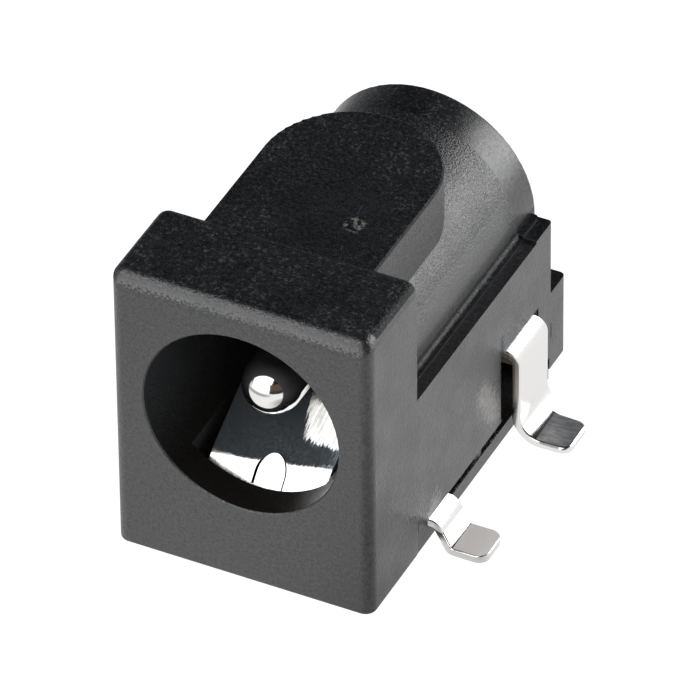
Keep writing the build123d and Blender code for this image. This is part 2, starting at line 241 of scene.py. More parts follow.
# %% Floor
FLOOR_HALF = 0.6
FLOOR_WHITE = 0.85
SHADOW_SHARE = 0.25
FLOOR_GLOW = 0.98  # what the camera sees
FLOOR_SHEEN = 0.90  # what reflections see
DIM_PLACE = Vector((10.0, -7.0, -1.0)) * MM  # painted shade: reflections see the floor's glow darker around here, near the front right corner
DIM_REACH = (3.0 * MM, 11.0 * MM)
DIM_SHARE = 0.36
GAP_NEAR = (22 * MM, 34 * MM)  # painted shade: reflections see a grey band on the floor under the key's front edge
GAP_FAR = (75 * MM, 60 * MM)
GAP_WAY = Vector((-0.88, -0.47, 0.0))
GAP_FADE = 24 * MM
GAP_SHARE = 0.3
DARK_WAY = (-0.71, 0.70, 0.0)  # reflections see the floor darker far behind on the left, and the room is darker that way
DARK_FROM = (25 * MM, 60 * MM)
DARK_LEVEL = 0.22


def floor_material():
    """White, and bright to the eye and in reflections, with a share that still takes shadow.
    Reflections see its glow painted darker in places, as painted shade.
    """
    material, tree, output = new_material("white_table")
    ray = add_node(tree, "ShaderNodeLightPath").outputs
    place = object_place(tree)
    sheen = masked(tree, vector(tree, "DISTANCE", place, DIM_PLACE), *DIM_REACH,
                   FLOOR_SHEEN * DIM_SHARE, FLOOR_SHEEN)
    reach = vector(tree, "LENGTH", place)
    gap = times(tree, masked(tree, reach, *GAP_NEAR), masked(tree, reach, *GAP_FAR),
                masked(tree, vector(tree, "DOT_PRODUCT", place, GAP_WAY), 0.0, GAP_FADE))
    far_left = vector(tree, "DOT_PRODUCT", place, DARK_WAY)
    sheen = times(tree, sheen, between(tree, gap, 1.0, GAP_SHARE),
                  masked(tree, far_left, *DARK_FROM, 1.0, DARK_LEVEL))
    level = add_node(tree, "ShaderNodeMix", {"Factor": ray["Is Camera Ray"],
                     2: sheen, 3: FLOOR_GLOW})
    shown = calc(tree, "MAXIMUM", ray["Is Camera Ray"],
                 calc(tree, "MAXIMUM", ray["Is Glossy Ray"], ray["Is Transmission Ray"]))
    plain = add_node(tree, "ShaderNodeBsdfDiffuse", {"Color": grey(FLOOR_WHITE)})
    shaded = add_node(tree, "ShaderNodeBsdfDiffuse", {"Color": grey(SHADOW_SHARE)})
    glow = add_node(tree, "ShaderNodeEmission", {"Color": grey(1.0), "Strength": level.outputs[0]})
    bright = add_node(tree, "ShaderNodeAddShader", {0: shaded.outputs[0], 1: glow.outputs[0]})
    mixed = add_node(tree, "ShaderNodeMixShader", {0: shown, 1: plain.outputs[0],
                     2: bright.outputs[0]})
    tree.links.new(mixed.outputs[0], output.inputs["Surface"])
    return material


def make_floor():
    height = plate_low.z
    corners = [(-FLOOR_HALF, -FLOOR_HALF, height), (FLOOR_HALF, -FLOOR_HALF, height),
               (FLOOR_HALF, FLOOR_HALF, height), (-FLOOR_HALF, FLOOR_HALF, height)]
    mesh = bpy.data.meshes.new("floor")
    mesh.from_pydata(corners, [], [(0, 1, 2, 3)])
    mesh.materials.append(floor_material())
    floor = bpy.data.objects.new("floor", mesh)
    bpy.context.scene.collection.objects.link(floor)
    return floor


floor = make_floor()
print("floor at", round(floor.data.vertices[0].co.z / MM, 2), "mm")

# %% World
# Heights are the upward part of a direction: 0 is level and 1 straight up.
ROOM_LEVELS = ((0.0, 1.0), (0.05, 0.90), (0.18, 0.35), (0.35, 0.08), (0.5, 0.01), (1.0, 0.02))
ROOM_TINT = (0.94, 0.97, 1.0)
DARK_SPAN = (0.80, 0.95)


def make_world():
    """A room that is white at table height and dark above, by direction alone."""
    world = bpy.data.worlds.new("room")
    world.use_nodes = True
    tree = world.node_tree
    tree.nodes.clear()
    way = add_node(tree, "ShaderNodeTexCoord").outputs["Generated"]
    ramp = add_node(tree, "ShaderNodeValToRGB", {"Fac": split(tree, way)["Z"]})
    steps = ramp.color_ramp.elements
    while len(steps) < len(ROOM_LEVELS):
        steps.new(1.0)
    for step, (height, level) in zip(steps, ROOM_LEVELS):
        step.position = height
        step.color = (*(level * part for part in ROOM_TINT), 1.0)
    heading = vector(tree, "DOT_PRODUCT", way, DARK_WAY)
    sky = add_node(tree, "ShaderNodeBackground", {"Color": ramp.outputs["Color"],
                   "Strength": masked(tree, heading, *DARK_SPAN, 1.0, DARK_LEVEL)})
    add_node(tree, "ShaderNodeOutputWorld", {"Surface": sky.outputs[0]})
    bpy.context.scene.world = world
    return world


room = make_world()
print("world:", room.name)

# %% Lamps
def make_lamp(name, towards, distance, width, height, level):
    """A square soft lamp that faces the jack; level is how bright its face is, with white as 1."""
    lamp = bpy.data.objects.new(name, bpy.data.lights.new(name, "AREA"))
    lamp.data.shape = "RECTANGLE"
    lamp.data.size = width
    lamp.data.size_y = height
    lamp.data.energy = level * math.pi * width * height
    way = Vector(towards).normalized()
    aim = Vector((0, 0, socket_height))
    lamp.matrix_world = Matrix.Translation(aim + way * distance) @ way.to_track_quat(
        "Z", "Y").to_matrix().to_4x4()
    bpy.context.scene.collection.objects.link(lamp)
    return lamp


key = make_lamp("key_softbox", towards=(-0.30, -0.80, 0.53), distance=0.30, width=0.41,
                height=0.39, level=2.3)
rim = make_lamp("rear_softbox", towards=(0.66, 0.68, 0.34), distance=0.35, width=0.28,
                height=0.22, level=4.4)
print("lamps:", key.name, rim.name)

# %% Card
# Something brown stands on the table at the front right, and shows in the pin's nose.
CARD_HEADING = math.radians(36)
CARD_DISTANCE = 0.16
CARD_WIDTH = 0.13
CARD_HEIGHT = 0.11
CARD_TURN = (0.02, 0.04)  # heights over which its foot's green turns to brown
CARD_COLOURS = ((0.02, 0.045, 0.03, 1.0), (0.13, 0.085, 0.06, 1.0))


def make_card():
    """A plain upright card, dark green at its foot and brown above. It glows at these colours by
    emission, as painted light, and takes no lamp's light.
    """
    side = Vector((math.cos(CARD_HEADING), math.sin(CARD_HEADING), 0)) * CARD_WIDTH / 2
    foot = Vector((math.sin(CARD_HEADING), -math.cos(CARD_HEADING), 0)) * CARD_DISTANCE
    foot.z = plate_low.z
    rise = Vector((0, 0, CARD_HEIGHT))
    mesh = bpy.data.meshes.new("brown_card")
    mesh.from_pydata([foot - side, foot + side, foot + side + rise, foot - side + rise], [],
                     [(0, 1, 2, 3)])
    material, tree, output = new_material("brown_card")
    share = add_node(tree, "ShaderNodeMapRange", {"Value": split(tree, object_place(tree))["Z"],
                     "From Min": CARD_TURN[0], "From Max": CARD_TURN[1]}).outputs["Result"]
    glow = add_node(tree, "ShaderNodeEmission", {"Color": blend(tree, share, *CARD_COLOURS)})
    tree.links.new(glow.outputs[0], output.inputs["Surface"])
    mesh.materials.append(material)
    card = bpy.data.objects.new("brown_card", mesh)
    bpy.context.scene.collection.objects.link(card)
    return card


card = make_card()
print("card:", card.name)

# %% [markdown]
# ## Black moulded plastic
# Moulded plastic keeps the fine spark-eroded grain of its mould, and handling leaves faint lighter
# specks. The grain is one shared group that gives a height and four masks, and each plastic takes
# it at its own strength. Two more groups mark a line and a spot, for scratches, seams and the place
# where the mould was filled. The line also lays painted light and painted shade along the housing's
# side.

# %% Grain group
NOISE_SPAN = (0.3, 0.7)  # most values of a noise lie between these
GRAIN_SCALE = 13000.0  # noise scales are per metre
GRAIN_DETAIL = (2.0, 0.7)
MASK_NOISES = {  # scale, detail, roughness
    "Mottle": (6500.0, 3.0, 0.65),
    "Specks": (8500.0, 2.0, 0.5),
    "Clouds": (700.0, 4.0, 0.55),
    "Shine": (10000.0, 2.0, 0.6),
}
SPECK_RANGE = (0.52, 0.74)


def make_group(name, inputs, outputs):
    """An empty node group with float or vector inputs and float outputs."""
    group = bpy.data.node_groups.new(name, "ShaderNodeTree")
    for label, (kind, value) in inputs.items():
        socket = group.interface.new_socket(label, in_out="INPUT", socket_type=kind)
        socket.default_value = value
    for label in outputs:
        group.interface.new_socket(label, in_out="OUTPUT", socket_type="NodeSocketFloat")
    return group, group.nodes.new("NodeGroupInput").outputs, group.nodes.new("NodeGroupOutput")


def noise(tree, place, scale, detail=2.0, roughness=0.5):
    """Plain noise between 0 and 1 at a scale per metre."""
    node = add_node(tree, "ShaderNodeTexNoise", {"Vector": place, "Scale": scale,
                    "Detail": detail, "Roughness": roughness})
    return node.outputs["Fac"]


def make_grain_group():
    """Height and masks of a moulded surface, from its own object coordinates."""
    group, take, leave = make_group("moulded_grain", {"Grain Scale": ("NodeSocketFloat",
                                    GRAIN_SCALE)}, ("Height", *MASK_NOISES))
    place = object_place(group)
    group.links.new(noise(group, place, take["Grain Scale"], *GRAIN_DETAIL), leave.inputs["Height"])
    for label, settings in MASK_NOISES.items():
        mask = noise(group, place, *settings)
        if label == "Specks":
            mask = masked(group, mask, *SPECK_RANGE)
        group.links.new(mask, leave.inputs[label])
    return group


grain_group = make_grain_group()

# %% Line and spot groups
RAGGED_SCALE = 9000.0
RAGGED_RANGE = (*NOISE_SPAN, 0.35, 1.0)
LINE_CORE = 0.3  # shares of a mark's reach that are solid
SPOT_CORE = 0.55
FLECK_NOISE = (6500.0, 1.0, 0.5)
FLECK_RANGE = (0.46, 0.66)


def make_line_group():
    """Mask of a thin straight mark between two points, ragged along its length."""
    group, take, leave = make_group("line_mark", {"Start": ("NodeSocketVector", (0, 0, 0)),
                                    "End": ("NodeSocketVector", (0, 0, 0)),
                                    "Width": ("NodeSocketFloat", 0.04 * MM)}, ("Mask",))
    place = object_place(group)
    whole = vector(group, "SUBTRACT", take["End"], take["Start"])
    part = vector(group, "SUBTRACT", place, take["Start"])
    share = calc(group, "DIVIDE", vector(group, "DOT_PRODUCT", part, whole),
                 vector(group, "DOT_PRODUCT", whole, whole), use_clamp=True)
    nearest = add_node(group, "ShaderNodeVectorMath", {0: whole, "Scale": share},
                       operation="SCALE").outputs[0]
    reach = times(group, take["Width"],
                  masked(group, noise(group, place, RAGGED_SCALE), *RAGGED_RANGE))
    mask = masked(group, vector(group, "DISTANCE", part, nearest),
                  times(group, reach, LINE_CORE), reach, 1.0, 0.0)
    group.links.new(mask, leave.inputs["Mask"])
    return group


def make_spot_group():
    """Mask of a rough round mark, solid or as a broken ring."""
    group, take, leave = make_group("spot_mark", {"Centre": ("NodeSocketVector", (0, 0, 0)),
                                    "Reach": ("NodeSocketFloat", 0.3 * MM)}, ("Disc", "Flecks"))
    place = object_place(group)
    disc = masked(group, vector(group, "DISTANCE", place, take["Centre"]),
                  times(group, take["Reach"], SPOT_CORE), take["Reach"], 1.0, 0.0)
    fleck = masked(group, noise(group, place, *FLECK_NOISE), *FLECK_RANGE)
    group.links.new(disc, leave.inputs["Disc"])
    group.links.new(times(group, disc, fleck), leave.inputs["Flecks"])
    return group


line_group = make_line_group()
spot_group = make_spot_group()
print("groups:", grain_group.name, line_group.name, spot_group.name)

# %% [markdown]
# Marks on the housing are given by their places in millimetres: the broken ring the mould's gate
# left on the raised flat, thin scratches, and the seam where the flange meets the base. Painted
# light, where the legs throw light on the side, and painted shade at the front edge of the slot
# beside the rear leg, are given the same way.

# %% Marks on the housing
GATE_MARK = ((1.41, 0.74, 10.9), 0.46)  # centre, reach
CLEAR_PATCH = ((0.60, 0.90, 10.9), 2.4)
CLEAR_SPECKS = 0.12
PALE_LINES = (  # start, end, width
    ((-0.47, -4.58, 9.66), (-0.10, -4.58, 9.58), 0.04),
)
SCRATCHES = (
    ((1.23, 1.26, 10.9), (1.20, 1.71, 10.9), 0.022),
    ((1.57, -0.58, 10.9), (1.52, -0.32, 10.9), 0.022),
)
GLOWS = (  # light thrown on the side by the legs
    ((4.5, 3.55, 3.05), (4.5, 4.45, 1.70), 1.00),
    ((4.5, 0.00, 1.25), (4.5, -0.75, 0.25), 0.80),
)
SOFT_SHADES = (
    ((4.5, 4.96, 0.95), (4.5, 4.96, 4.3), 0.30),
)
DARK_LINES = (
    ((4.5, -1.19, 0.0), (4.5, -1.19, 1.35), 0.05),
    ((4.5, 8.64, 1.75), (4.5, 8.64, 2.28), 0.09),
)
FAINT_LINES = (
    ((4.5, -1.18, 1.35), (4.5, -1.18, 6.3), 0.035),
)


def scaled(point):
    return tuple(part * MM for part in point)


def line_masks(tree, lines):
    """The strongest of several line marks."""
    strongest = None
    for start, end, width in lines:
        mark = add_node(tree, "ShaderNodeGroup", {"Start": scaled(start), "End": scaled(end),
                        "Width": width * MM}, node_tree=line_group).outputs["Mask"]
        strongest = calc(tree, "MAXIMUM", strongest, mark) if strongest else mark
    return strongest


def spot(tree, centre, reach):
    """The masks of one spot mark."""
    return add_node(tree, "ShaderNodeGroup", {"Centre": scaled(centre), "Reach": reach * MM},
                    node_tree=spot_group).outputs


# %% [markdown]
# Parts of the housing take their own grey, glow or shine: the bore and its lip, the slot beside the
# rear leg, the barrel's flank and foot, the flat's rim and the flange's rolled edge. The bore's
# lighter grey, the slot's brown glow and the flank's lighter grey are painted light. Each is a
# patch where several limits hold. A limit names a measure, where the patch begins to show along it,
# and where it shows fully.

# %% Patches of the housing
FRONT = front_y / MM
AXIS = socket_height / MM
SPLIT_AT = 7.52  # the barrel is smoother behind the mould's split
BEHIND_FLANGE = ("y", -1.0, -0.9)
PATCHES = {  # measures in millimetres, facings as parts of the normal
    "bore": (("out", 3.43, 3.42), ("y", FRONT + 0.02, FRONT + 0.06), ("y", 5.10, 5.06)),
    "slot": (("side", 4.47, 4.44), ("z", 4.40, 4.30), ("y", 4.90, 4.95), ("y", 7.74, 7.70)),
    "flank": (("side", 3.44, 3.47), ("z", 6.85, 7.20), BEHIND_FLANGE, ("z", 8.40, 7.60),
              ("side", 4.00, 3.90), ("y", SPLIT_AT, SPLIT_AT - 1.0)),
    "foot": (("side", 3.99, 3.96), ("z", 6.72, 6.62), ("z", 6.38, 6.40), ("side", 3.60, 3.70),
             BEHIND_FLANGE),
    "behind": (("y", SPLIT_AT, SPLIT_AT + 0.05), ("z", AXIS, AXIS + 0.1), ("back", 0.9, 0.5)),
    "roll": (("z", 10.16, 10.74), ("z", 10.92, 10.74), ("back", -0.05, -0.5),
             ("y", FRONT + 0.5, FRONT + 0.4)),
    "rim": (("z", 10.73, 10.79), ("up", 0.998, 0.95), ("y", FRONT + 0.6, FRONT + 0.7)),
}
UPWARD = (("up", 0.1, 0.8),)
LEAF_ROOM = (6.2 * MM, 6.1 * MM)  # below these heights the bore reaches further out, to the leaf
LEAF_ROOM_REACH = 0.9 * MM


def surface_measures(tree):
    """What limits are measured along, each with its unit."""
    place = object_place(tree)
    across, along, height = split(tree, place)
    turned = facing(tree)
    out = vector(tree, "DISTANCE", place, joined(tree, Y=along, Z=socket_height))
    out = plus(tree, out, masked(tree, height, *LEAF_ROOM, 0, -LEAF_ROOM_REACH))
    return {"y": (along, MM), "z": (height, MM), "side": (size_of(tree, across), MM),
            "out": (out, MM), "back": (turned["Y"], 1.0), "up": (turned["Z"], 1.0)}


def patch(tree, measures, limits):
    """The share of a patch, which is full where all its limits hold."""
    shares = [masked(tree, measures[name][0], start * measures[name][1], full * measures[name][1])
              for name, start, full in limits]
    return times(tree, *shares)


# %% Plastic materials
PLASTIC_DARK = (0.0036, 0.0038, 0.0045, 1.0)
PLASTIC_PALE = (0.016, 0.017, 0.020, 1.0)
PLASTIC_SPECK = (0.07, 0.075, 0.085, 1.0)
MARK_PALE = (0.22, 0.22, 0.21, 1.0)
MARK_DARK = (0.0, 0.0, 0.0, 1.0)
# painted light: the grey of the light that the legs throw on the side
GLOW_GREY = (0.22, 0.21, 0.20, 1.0)
# painted light: the bore's inside is lighter than the plastic elsewhere, and takes LIP_BROWN where
# it faces up
BORE_PAINTED_LIGHT = (0.042, 0.043, 0.044, 1.0)
LIP_BROWN = (0.010, 0.009, 0.0075, 1.0)
# painted light: the brown that the slot beside the rear leg glows
SLOT_PAINTED_GLOW = (0.034, 0.029, 0.024, 1.0)
# painted light on the barrel's lower flank, lifting the dark that it mirrors from the ledge
FLANK_PAINTED_LIGHT = (0.075, 0.077, 0.08, 1.0)
FACE_SHINE = 0.80
FACE_IOR = 1.56
FAINT_SHINE = 0.8  # shares of the shine that marks and patches leave
DARK_SHINE = 0.1
SHADE_SHINE = 0.25
BORE_SHINE = 0.45
FOOT_SHINE = 0.3
RIM_SHINE = 0.15
BEHIND_GRAIN = 0.22
ROLL_LEAN = 0.5
MOTTLE_RANGE = (0.35, 0.65)  # ranges of the grain's masks, and what they are spread to
CLOUD_SPECKS = (0.38, 0.62, 0.45, 1.1)
GLOW_MOTTLE = (*NOISE_SPAN, 0.4, 1.0)
ROLL_GRAIN = (0.35, 0.65, 0.4, 1.6)
SHINE_GRAIN = (0.25, 0.75, FACE_SHINE * 0.8, FACE_SHINE * 1.2)


def housing_colour(tree, grain, patches, colour):
    """The plastic's colour with the housing's marks laid over it, and the painted light of the
    legs' glow, the bore and the flank.
    """
    glow = times(tree, line_masks(tree, GLOWS), masked(tree, grain["Mottle"], *GLOW_MOTTLE))
    layers = ((spot(tree, *GATE_MARK)["Flecks"], MARK_PALE),
              (line_masks(tree, PALE_LINES), MARK_PALE),
              (line_masks(tree, SCRATCHES), PLASTIC_SPECK),
              (glow, GLOW_GREY),
              (line_masks(tree, DARK_LINES), MARK_DARK),
              (patches["bore"], blend(tree, patches["upward"], BORE_PAINTED_LIGHT, LIP_BROWN)),
              (patches["flank"], FLANK_PAINTED_LIGHT))
    for share, tint in layers:
        colour = blend(tree, share, colour, tint)
    return colour


def housing_shine(tree, patches, shine):
    """The plastic's shine, dulled by the housing's marks and patches."""
    dulled = ((line_masks(tree, FAINT_LINES), FAINT_SHINE),
              (line_masks(tree, DARK_LINES), DARK_SHINE),
              (line_masks(tree, SOFT_SHADES), SHADE_SHINE),
              (patches["bore"], BORE_SHINE),
              (patches["foot"], FOOT_SHINE),
              (times(tree, patches["bore"], patches["upward"]), BORE_SHINE),
              (patches["rim"], RIM_SHINE))
    for share, left in dulled:
        shine = times(tree, shine, between(tree, share, 1.0, left))
    return shine


def plastic_material(name, roughness, bump_depth, for_housing):
    """Black moulded plastic; for the housing it also takes the housing's own marks and patches,
    with the painted light among them.
    """
    material, tree, output = new_material(name)
    grain = add_node(tree, "ShaderNodeGroup", node_tree=grain_group).outputs
    measures = surface_measures(tree)
    upward = patch(tree, measures, UPWARD)
    specks = times(tree, grain["Specks"], upward, masked(tree, grain["Clouds"], *CLOUD_SPECKS))
    if for_housing:
        clear = spot(tree, *CLEAR_PATCH)["Disc"]
        specks = times(tree, specks, between(tree, clear, 1.0, CLEAR_SPECKS))
    colour = blend(tree, masked(tree, grain["Mottle"], *MOTTLE_RANGE), PLASTIC_DARK, PLASTIC_PALE)
    colour = blend(tree, specks, colour, PLASTIC_SPECK)
    shine = masked(tree, grain["Shine"], *SHINE_GRAIN)
    height = grain["Height"]
    if for_housing:
        patches = {part: patch(tree, measures, limits) for part, limits in PATCHES.items()}
        patches["upward"] = upward
        colour = housing_colour(tree, grain, patches, colour)
        shine = housing_shine(tree, patches, shine)
        height = times(tree, height, between(tree, patches["behind"], 1.0, BEHIND_GRAIN))
    normal = add_node(tree, "ShaderNodeBump", {"Height": height, "Strength": 1.0,
                      "Distance": bump_depth}).outputs["Normal"]
    if for_housing:
        roll = times(tree, patches["roll"], masked(tree, grain["Shine"], *ROLL_GRAIN), ROLL_LEAN)
        normal = leaned(tree, normal, Z=roll)
    shader = add_node(tree, "ShaderNodeBsdfPrincipled", {"Base Color": colour, "Normal": normal,
                      "Roughness": masked(tree, grain["Clouds"], *NOISE_SPAN, *roughness),
                      "IOR": FACE_IOR, "Specular IOR Level": shine})
    if for_housing:
        # painted light: the slot beside the rear leg glows a faint brown by emission
        tree.links.new(blend(tree, patches["slot"], MARK_DARK, SLOT_PAINTED_GLOW),
                       shader.inputs["Emission Color"])
        shader.inputs["Emission Strength"].default_value = 1.0
    tree.links.new(shader.outputs[0], output.inputs["Surface"])
    return material


def dress(node, material):
    """Gives a measured piece its finish and leaves its shape alone."""
    nodes[node].data.materials.clear()
    nodes[node].data.materials.append(material)


housing_plastic = plastic_material("housing_plastic_black", roughness=(0.28, 0.38),
                                   bump_depth=0.026 * MM, for_housing=True)
base_plastic = plastic_material("base_plastic_black", roughness=(0.34, 0.46),
                                bump_depth=0.020 * MM, for_housing=False)
dress("housing", housing_plastic)
dress("base_plate", base_plastic)
print("plastics:", housing_plastic.name, base_plastic.name)

# %% [markdown]
# ## Bright plate
# Tin and nickel plate mirror their surroundings, a little softened by the strip's rolling marks.
# On the leaf, the tool that folded it left a steeper, brushed patch beside the pin: there the
# shading leans towards the mouth in streaks, which is what makes that patch flash white.

# %% Plate
PIN_COLOUR = (0.79, 0.785, 0.765, 1.0)
STRIP_COLOUR = (0.78, 0.77, 0.755, 1.0)
STREAK_SCALE = 1000.0
PLATE_STREAKS = (4.0, 0.6)  # detail and roughness of the noise
PLATE_ROUGH = (0.85, 1.2)  # the least and the most, as shares of a plate's roughness
FLAT_FACING = (0.93, 0.99)


def streaked(tree, place, stretch, detail, roughness=0.5):
    """Noise drawn out into streaks along the axes of small stretch."""
    mapped = add_node(tree, "ShaderNodeMapping", {"Vector": place, "Scale": stretch})
    return noise(tree, mapped.outputs["Vector"], STREAK_SCALE, detail, roughness)


def plate_material(name, colour, roughness, stretch, bump_depth, extras=None):
    """Plated metal with rolling marks; extras may change its colour, roughness and shading."""
    material, tree, output = new_material(name)
    place = object_place(tree)
    streaks = streaked(tree, place, stretch, *PLATE_STREAKS)
    rough = masked(tree, streaks, *NOISE_SPAN, *(roughness * share for share in PLATE_ROUGH))
    normal = add_node(tree, "ShaderNodeBump", {"Height": streaks, "Strength": 1.0,
                      "Distance": bump_depth}).outputs["Normal"]
    shader = add_node(tree, "ShaderNodeBsdfPrincipled", {"Base Color": colour, "Metallic": 1.0,
                      "Roughness": rough, "Normal": normal})
    tree.links.new(shader.outputs[0], output.inputs["Surface"])
    if extras:
        extras(tree, shader.inputs, place, rough, normal)
    return material


# %% Cut edges, shoulders and feet of the rear legs
CUT_FACING = (0.80, 0.97)
CUT_HEIGHTS = (1.2 * MM, 2.2 * MM)
CUT_STRETCH = (14.0, 1.0, 0.4)
CUT_DETAIL = 2.0
CUT_RANGE = (0.4, 0.62)
CUT_COLOUR = (0.34, 0.31, 0.27, 1.0)
CUT_PALE = (0.62, 0.57, 0.52, 1.0)
CUT_ROUGH = 0.25
FOOT_STRETCH = (2.5, 9.0, 1.0)
FOOT_DETAIL = 3.0
FOOT_RANGE = (0.35, 0.65)
FOOT_GREY = (0.52, 0.55, 0.60, 1.0)
FOOT_METAL = 0.86
FOOT_ROUGH = 0.20
SHOULDER_HEIGHTS = (3.0 * MM, 3.05 * MM)
SHOULDER_FACING = (0.2, 0.5)
SHOULDER_LEAN = 0.6


def cut_edges(tree, inputs, place, rough, normal):
    """The sheared edges of the rear legs are duller and browner than the plated faces."""
    across, _, height = split(tree, place)
    turned = facing(tree)
    edge = times(tree, masked(tree, size_of(tree, turned["Y"]), *CUT_FACING),
                 masked(tree, height, *CUT_HEIGHTS))
    flat = masked(tree, turned["Z"], *FLAT_FACING)
    sheared = masked(tree, streaked(tree, place, CUT_STRETCH, CUT_DETAIL), *CUT_RANGE)
    rolled = masked(tree, streaked(tree, place, FOOT_STRETCH, FOOT_DETAIL), *FOOT_RANGE)
    colour = blend(tree, edge, STRIP_COLOUR, blend(tree, sheared, CUT_COLOUR, CUT_PALE))
    colour = blend(tree, flat, colour, blend(tree, rolled, FOOT_GREY, STRIP_COLOUR))
    tree.links.new(colour, inputs["Base Color"])
    tree.links.new(between(tree, flat, 1.0, FOOT_METAL), inputs["Metallic"])
    tree.links.new(plus(tree, rough, between(tree, edge, 0.0, CUT_ROUGH),
                        between(tree, flat, 0.0, FOOT_ROUGH)), inputs["Roughness"])
    bend = times(tree, masked(tree, height, *SHOULDER_HEIGHTS),
                 masked(tree, turned["Z"], *SHOULDER_FACING))
    outward = times(tree, across, SHOULDER_LEAN / half_body)
    tree.links.new(leaned(tree, normal, X=times(tree, bend, outward)), inputs["Normal"])


# %% Leaf and leg of the sleeve contact
HAIR_STRETCH = (14.0, 0.8, 0.8)
HAIR_DETAIL = (5.0, 0.75)
HAIR_SHIFT = 0.14 * MM
HAIR_LEAN = (0.38, 0.50)
HAIR_COLOUR = (0.30, 0.62)
FOLD_JITTER = 0.6
PATCH_LEFT = ((0.70, -1.50), (0.30, -0.15))  # the patch's left edge, as places from above
PATCH_SIDE = (-0.03 * MM, 0.06 * MM)
PATCH_NEAR = (-1.87 * MM, -1.42 * MM)
PATCH_FLOOR = 3.2 * MM
PATCH_RISE = 0.1 * MM
PATCH_LEAN = 1.15
PATCH_LEAST = 0.75  # share of that lean between the hairs
PATCH_GREY = (0.30, 0.30, 0.285, 1.0)
SLOPE_SIDE = (-0.4 * MM, -2.0 * MM)
SLOPE_NEAR = (-2.0 * MM, -2.5 * MM)
SLOPE_LEAN = 0.20
BEND_AT_Y = -2.66 * MM
BEND_FADE = 0.34 * MM
FOLD_SLANT = 0.10  # the fold lies further from the mouth towards the right
LEAF_ROLL = -0.34
TONGUE_TIP = (0.12, -2.83, 0.0)
TONGUE_REACH = (0.47 * MM, 0.50 * MM)
TURN_SIDE = (4.3 * MM, 4.4 * MM)
TURN_HEIGHTS = (0.6 * MM, 0.7 * MM)
TURN_LEAN = 0.8
LEAF_LINE = ((0.95, -2.50, 3.28), (2.10, -2.52, 3.27), 0.035)
LINE_GREY = 0.35
# painted reflection: a bluish tint on the facet behind the fold, so that the dark bore it mirrors
# looks bluish
FACET_REFLECTION_TINT = (0.66, 0.73, 0.80, 1.0)
FACET_SCALE = 13000.0
FACET_HAZE = (0.05, 0.10)
SOLE_SIDE = (5.30 * MM, 5.35 * MM)
SOLE_ROUGH = 0.30
DULL_COLOUR = (0.97, 0.93, 0.905, 1.0)


def brushed_patch(tree, across, along, height, shift):
    """The share of the brushed patch, whose left edge slants and whose edges are hairy."""
    (near_x, near_y), (far_x, far_y) = PATCH_LEFT
    slant = (far_x - near_x) / (far_y - near_y)
    left = (near_x - slant * near_y) * MM
    level_x = plus(tree, across, times(tree, along, -slant), shift)
    near_edge = plus(tree, along, times(tree, shift, FOLD_JITTER))
    return times(tree, masked(tree, level_x, left + PATCH_SIDE[0], left + PATCH_SIDE[1]),
                 masked(tree, near_edge, *PATCH_NEAR),
                 masked(tree, height, PATCH_FLOOR, PATCH_FLOOR + PATCH_RISE))


def leaf_back(tree, across, along, height, shift):
    """The share of the leaf that lies beyond its fold, apart from the tongue."""
    from_fold = plus(tree, along, times(tree, across, -FOLD_SLANT),
                     times(tree, shift, FOLD_JITTER))
    from_tongue = vector(tree, "DISTANCE", joined(tree, X=across, Y=along), scaled(TONGUE_TIP))
    return times(tree, masked(tree, from_fold, BEND_AT_Y, BEND_AT_Y + BEND_FADE),
                 masked(tree, from_tongue, *TONGUE_REACH),
                 masked(tree, height, PATCH_FLOOR - PATCH_RISE, PATCH_FLOOR))


def leaf_and_leg(tree, inputs, place, rough, normal):
    """The brushed patch and the twist of the leaf, and the dull foot of its leg."""
    across, along, height = split(tree, place)
    hairs = streaked(tree, place, HAIR_STRETCH, *HAIR_DETAIL)
    shift = masked(tree, hairs, *NOISE_SPAN, -HAIR_SHIFT, HAIR_SHIFT)
    brushed = brushed_patch(tree, across, along, height, shift)
    back = leaf_back(tree, across, along, height, shift)
    on_slope = times(tree, masked(tree, across, *SLOPE_SIDE), masked(tree, along, *SLOPE_NEAR))
    turning = times(tree, masked(tree, across, *TURN_SIDE), masked(tree, height, *TURN_HEIGHTS))
    twist = plus(tree, between(tree, on_slope, 0.0, SLOPE_LEAN),
                 between(tree, back, 0.0, LEAF_ROLL), between(tree, turning, 0.0, TURN_LEAN))
    steep = masked(tree, hairs, *HAIR_LEAN, -PATCH_LEAST * PATCH_LEAN, -PATCH_LEAN)
    tree.links.new(leaned(tree, normal, X=twist, Y=times(tree, brushed, steep)), inputs["Normal"])
    sole = times(tree, masked(tree, facing(tree)["Z"], *FLAT_FACING),
                 masked(tree, across, *SOLE_SIDE))
    facet = times(tree, back, between(tree, brushed, 1.0, 0.0))
    layers = ((line_masks(tree, [LEAF_LINE]), grey(LINE_GREY)),
              (times(tree, brushed, masked(tree, hairs, *HAIR_COLOUR)), PATCH_GREY),
              (facet, FACET_REFLECTION_TINT), (sole, DULL_COLOUR))
    colour = STRIP_COLOUR
    for share, tint in layers:
        colour = blend(tree, share, colour, tint)
    tree.links.new(colour, inputs["Base Color"])
    haze = times(tree, facet, masked(tree, noise(tree, place, FACET_SCALE), *NOISE_SPAN,
                                     *FACET_HAZE))
    metal = calc(tree, "SUBTRACT", 1.0, plus(tree, sole, haze), use_clamp=True)
    tree.links.new(metal, inputs["Metallic"])
    tree.links.new(plus(tree, rough, between(tree, sole, 0.0, SOLE_ROUGH)), inputs["Roughness"])


